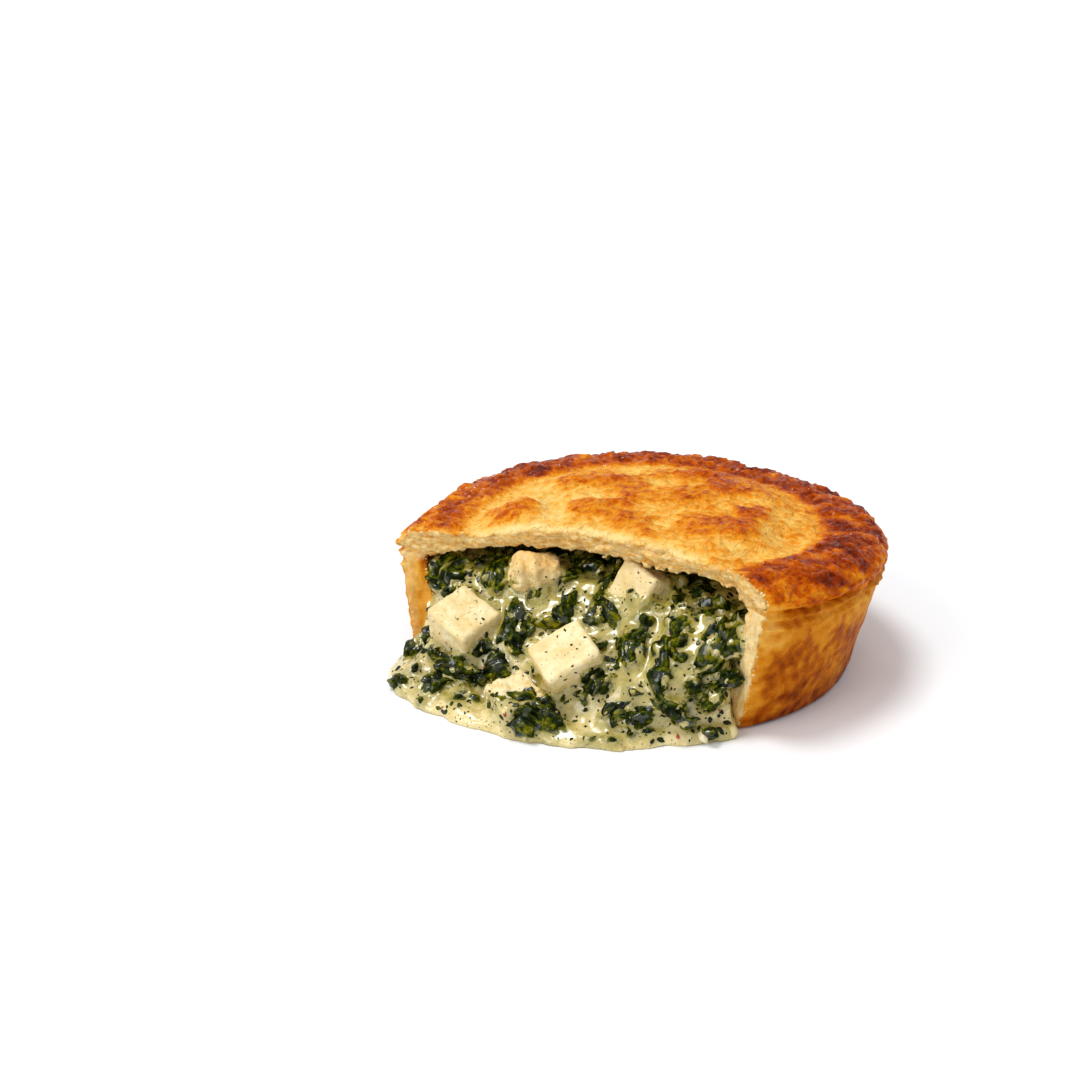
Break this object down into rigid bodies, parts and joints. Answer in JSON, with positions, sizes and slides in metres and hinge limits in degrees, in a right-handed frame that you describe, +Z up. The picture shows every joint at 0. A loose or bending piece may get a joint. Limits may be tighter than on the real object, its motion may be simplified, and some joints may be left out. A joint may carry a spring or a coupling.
{
  "type": "spinach pie",
  "caption": "Deep round double-crust spinach pie, cut open at the front, with its creamed spinach filling slumping out and pieces of white cheese in it.",
  "frame": {"origin": "On the table under the axis of the round pastry case, where the base rests.", "axes": "+Z up along the axis of the pie, -Y towards the cut side, +X to the right of somebody who faces the cut."},
  "size_m": [0.1159, 0.1097, 0.0372],
  "materials": {
    "case_pastry": "baked shortcrust pastry, golden, dry and slightly rough, pale where it is cut",
    "lid_pastry": "egg-glazed pastry, deep golden brown at the rim, golden and blotchy in the middle, softly glossy",
    "creamed_spinach": "wet, creamy pale green-yellow sauce full of glossy dark green wilted spinach",
    "white_cheese": "moist ivory brined cheese, slightly crumbly, flecked with herbs"
  },
  "bodies": {
    "root": {"pastry_case": "case_pastry", "pastry_lid": "lid_pastry", "filling": "creamed_spinach", "cheese_cube_left": "white_cheese", "cheese_cube_middle": "white_cheese", "cheese_cube_right": "white_cheese", "cheese_cube_front": "white_cheese", "cheese_lump_back": "white_cheese"}
  },
  "joints": []
}
